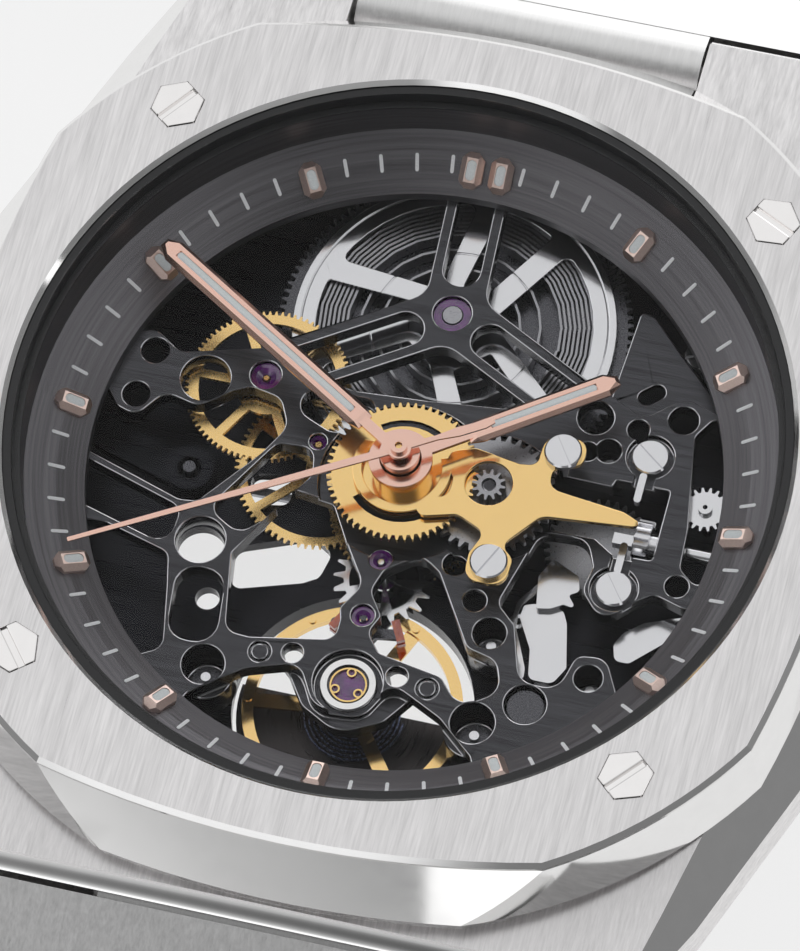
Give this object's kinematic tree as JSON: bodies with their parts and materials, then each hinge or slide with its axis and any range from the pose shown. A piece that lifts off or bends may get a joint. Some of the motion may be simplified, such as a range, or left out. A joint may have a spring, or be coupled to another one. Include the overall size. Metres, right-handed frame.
{
  "type": "skeleton wristwatch",
  "caption": "Skeleton automatic wristwatch with an eight-sided bezel, open-worked movement and hinged steel bracelet laid open.",
  "frame": {"origin": "on the watch's axis, in the plane of the case back's resting face", "axes": "+Z out of the dial through the crystal, +Y towards twelve o'clock, +X towards three o'clock and the crown"},
  "size_m": [0.0435, 0.1871, 0.0107],
  "materials": {
    "brushed_case": "brushed with polished bevels",
    "crystal_glass": "clear",
    "gasket_rubber": "matt",
    "ring_grey": "dark, circular brushed",
    "rose_gold": "bright rose gilt",
    "black_plate": "black plated, straight brushed",
    "gilt": "gilt",
    "polished_steel": "polished",
    "ruby": "synthetic ruby",
    "spring_blue": "blued",
    "copper": "satin copper",
    "holder_steel": "turned"
  },
  "bodies": {
    "watch_case": {"case_middle": "brushed_case", "bezel": "brushed_case", "bezel_screws": "polished_steel", "crystal": "crystal_glass", "gaskets": "gasket_rubber", "chapter_ring": "ring_grey", "hour_markers": "rose_gold", "case_back": "brushed_case", "case_back_crystal": "crystal_glass", "movement_holder": "holder_steel", "crown_tube": "polished_steel", "main_plate": "black_plate", "barrel_bridge": "black_plate", "train_bridge": "black_plate", "balance_cock": "black_plate", "pallet_bridge": "black_plate", "shock_setting": "gilt", "jewels": "ruby", "motion_cover": "gilt", "plate_screws": "polished_steel", "keyless_levers": "polished_steel", "rotor_bearing": "polished_steel"},
    "clutch": {"clutch_wheel": "polished_steel"},
    "crown": {"crown": "brushed_case", "winding_stem": "polished_steel"},
    "setting": {"setting_wheel": "polished_steel"},
    "crown_wheel_body": {"crown_wheel": "polished_steel"},
    "ratchet": {"ratchet_wheel": "polished_steel"},
    "barrel": {"barrel_drum": "polished_steel", "barrel_cover": "polished_steel", "mainspring": "polished_steel"},
    "second_wheel_body": {"second_wheel": "gilt"},
    "third_wheel_body": {"third_wheel": "gilt"},
    "fourth_wheel_body": {"fourth_wheel": "gilt", "seconds_hand": "rose_gold"},
    "escape_wheel_body": {"escape_wheel": "polished_steel"},
    "fork": {"pallet_fork": "polished_steel", "pallet_stones": "ruby"},
    "balance": {"balance_wheel": "gilt", "balance_staff": "polished_steel", "hairspring": "spring_blue"},
    "hour": {"hour_wheel": "gilt", "hour_hand": "rose_gold"},
    "minute_wheel_body": {"minute_wheel": "polished_steel"},
    "minute": {"cannon_pinion": "copper", "minute_hand": "rose_gold"},
    "rotor_body": {"rotor": "black_plate"},
    "upper_link_1_body": {"upper_link_1": "brushed_case"},
    "upper_link_2_body": {"upper_link_2": "brushed_case"},
    "upper_link_3_body": {"upper_link_3": "brushed_case"},
    "upper_link_4_body": {"upper_link_4": "brushed_case"},
    "upper_link_5_body": {"upper_link_5": "brushed_case"},
    "lower_link_1_body": {"lower_link_1": "brushed_case"},
    "lower_link_2_body": {"lower_link_2": "brushed_case"},
    "lower_link_3_body": {"lower_link_3": "brushed_case"},
    "lower_link_4_body": {"lower_link_4": "brushed_case"},
    "lower_link_5_body": {"lower_link_5": "brushed_case"},
    "clasp_leaf_upper_body": {"clasp_leaf_upper": "brushed_case"},
    "clasp_centre_body": {"clasp_centre": "brushed_case"},
    "clasp_leaf_lower_body": {"clasp_leaf_lower": "brushed_case"}
  },
  "joints": [
    {"name": "seconds_turn", "type": "hinge", "parent": "watch_case", "child": "fourth_wheel_body", "pos_m": [0, 0, 0.0031], "axis": [0, 0, -1], "continuous": true},
    {"name": "third_turn", "type": "hinge", "parent": "watch_case", "child": "third_wheel_body", "pos_m": [-0.0039, 0.00103, 0.0034], "axis": [0, 0, -1], "continuous": true},
    {"name": "second_turn", "type": "hinge", "parent": "watch_case", "child": "second_wheel_body", "pos_m": [-0.00677, 0.0035, 0.0048], "axis": [0, 0, -1], "continuous": true},
    {"name": "barrel_turn", "type": "hinge", "parent": "watch_case", "child": "barrel", "pos_m": [0, 0.0079, 0.0041], "axis": [0, 0, -1], "continuous": true},
    {"name": "escape_turn", "type": "hinge", "parent": "watch_case", "child": "escape_wheel_body", "pos_m": [-0.00008, -0.00352, 0.0031], "axis": [0, 0, -1], "continuous": true},
    {"name": "minute_turn", "type": "hinge", "parent": "watch_case", "child": "minute", "pos_m": [0, 0, 0.0086], "axis": [0, 0, -1], "continuous": true},
    {"name": "minute_wheel_turn", "type": "hinge", "parent": "watch_case", "child": "minute_wheel_body", "pos_m": [0.00361, 0.00007, 0.0063], "axis": [0, 0, -1], "continuous": true},
    {"name": "hour_turn", "type": "hinge", "parent": "watch_case", "child": "hour", "pos_m": [0, 0, 0.00805], "axis": [0, 0, -1], "continuous": true},
    {"name": "fork_rock", "type": "hinge", "parent": "watch_case", "child": "fork", "pos_m": [-0.00015, -0.00612, 0.0042], "axis": [0, 0, 1], "range_deg": [-4, 4]},
    {"name": "balance_swing", "type": "hinge", "parent": "watch_case", "child": "balance", "pos_m": [0, -0.0091, 0.0033], "axis": [0, 0, 1], "range_deg": [-150, 150], "stiffness_Nm_per_rad": 0.0000006},
    {"name": "setting_turn", "type": "hinge", "parent": "watch_case", "child": "setting", "pos_m": [0.0121, 0.0019, 0.005], "axis": [0, 0, 1], "continuous": true},
    {"name": "crown_turn", "type": "hinge", "parent": "watch_case", "child": "clutch", "pos_m": [0.01, 0, 0.0046], "axis": [1, 0, 0], "continuous": true},
    {"name": "crown_pull", "type": "slide", "parent": "clutch", "child": "crown", "axis": [1, 0, 0], "range_m": [0, 0.001]},
    {"name": "crown_wheel_turn", "type": "hinge", "parent": "watch_case", "child": "crown_wheel_body", "pos_m": [0.008, 0, 0.0032], "axis": [0, 0, 1], "continuous": true},
    {"name": "ratchet_turn", "type": "hinge", "parent": "watch_case", "child": "ratchet", "pos_m": [0, 0.0079, 0.0022], "axis": [0, 0, 1], "continuous": true},
    {"name": "rotor_swing", "type": "hinge", "parent": "watch_case", "child": "rotor_body", "pos_m": [0, 0, 0.0016], "axis": [0, 0, 1], "continuous": true},
    {"name": "upper_pin_1", "type": "hinge", "parent": "watch_case", "child": "upper_link_1_body", "pos_m": [0, 0.0213, 0.0052], "axis": [-1, 0, 0], "range_deg": [-20, 22]},
    {"name": "upper_pin_2", "type": "hinge", "parent": "upper_link_1_body", "child": "upper_link_2_body", "pos_m": [0, 0.03009, 0.0016], "axis": [-1, 0, 0], "range_deg": [-4, 45]},
    {"name": "upper_pin_3", "type": "hinge", "parent": "upper_link_2_body", "child": "upper_link_3_body", "pos_m": [0, 0.03959, 0.0016], "axis": [-1, 0, 0], "range_deg": [-4, 25]},
    {"name": "upper_pin_4", "type": "hinge", "parent": "upper_link_3_body", "child": "upper_link_4_body", "pos_m": [0, 0.04909, 0.0016], "axis": [-1, 0, 0], "range_deg": [-4, 25]},
    {"name": "upper_pin_5", "type": "hinge", "parent": "upper_link_4_body", "child": "upper_link_5_body", "pos_m": [0, 0.05859, 0.0016], "axis": [-1, 0, 0], "range_deg": [-4, 25]},
    {"name": "lower_pin_1", "type": "hinge", "parent": "watch_case", "child": "lower_link_1_body", "pos_m": [0, -0.0193, 0.0052], "axis": [1, 0, 0], "range_deg": [-20, 10]},
    {"name": "lower_pin_2", "type": "hinge", "parent": "lower_link_1_body", "child": "lower_link_2_body", "pos_m": [0, -0.02264, 0.00385], "axis": [1, 0, 0], "range_deg": [-4, 40]},
    {"name": "lower_pin_3", "type": "hinge", "parent": "lower_link_2_body", "child": "lower_link_3_body", "pos_m": [0, -0.03187, 0.0016], "axis": [1, 0, 0], "range_deg": [-4, 35]},
    {"name": "lower_pin_4", "type": "hinge", "parent": "lower_link_3_body", "child": "lower_link_4_body", "pos_m": [0, -0.04137, 0.0016], "axis": [1, 0, 0], "range_deg": [-4, 20]},
    {"name": "lower_pin_5", "type": "hinge", "parent": "lower_link_4_body", "child": "lower_link_5_body", "pos_m": [0, -0.05087, 0.0016], "axis": [1, 0, 0], "range_deg": [-4, 20]},
    {"name": "clasp_upper_pin", "type": "hinge", "parent": "upper_link_5_body", "child": "clasp_leaf_upper_body", "pos_m": [0, 0.06809, 0.0016], "axis": [-1, 0, 0], "range_deg": [-4, 35]},
    {"name": "clasp_centre_pin", "type": "hinge", "parent": "clasp_leaf_upper_body", "child": "clasp_centre_body", "pos_m": [0, 0.08309, 0.0008], "axis": [-1, 0, 0], "range_deg": [-2, 90]},
    {"name": "clasp_lower_pin", "type": "hinge", "parent": "lower_link_5_body", "child": "clasp_leaf_lower_body", "pos_m": [0, -0.06037, 0.0016], "axis": [1, 0, 0], "range_deg": [-4, 40]}
  ],
  "couplings": [
    {"joint": "third_turn", "follows": "seconds_turn", "ratio": -0.13333},
    {"joint": "second_turn", "follows": "seconds_turn", "ratio": 0.016667},
    {"joint": "barrel_turn", "follows": "seconds_turn", "ratio": -0.0018056},
    {"joint": "escape_turn", "follows": "seconds_turn", "ratio": -9},
    {"joint": "minute_turn", "follows": "seconds_turn", "ratio": 0.016667},
    {"joint": "minute_wheel_turn", "follows": "seconds_turn", "ratio": -0.0069444},
    {"joint": "hour_turn", "follows": "seconds_turn", "ratio": 0.0013889},
    {"joint": "crown_wheel_turn", "follows": "crown_turn", "ratio": 0.45714},
    {"joint": "ratchet_turn", "follows": "crown_turn", "ratio": -0.40952}
  ]
}
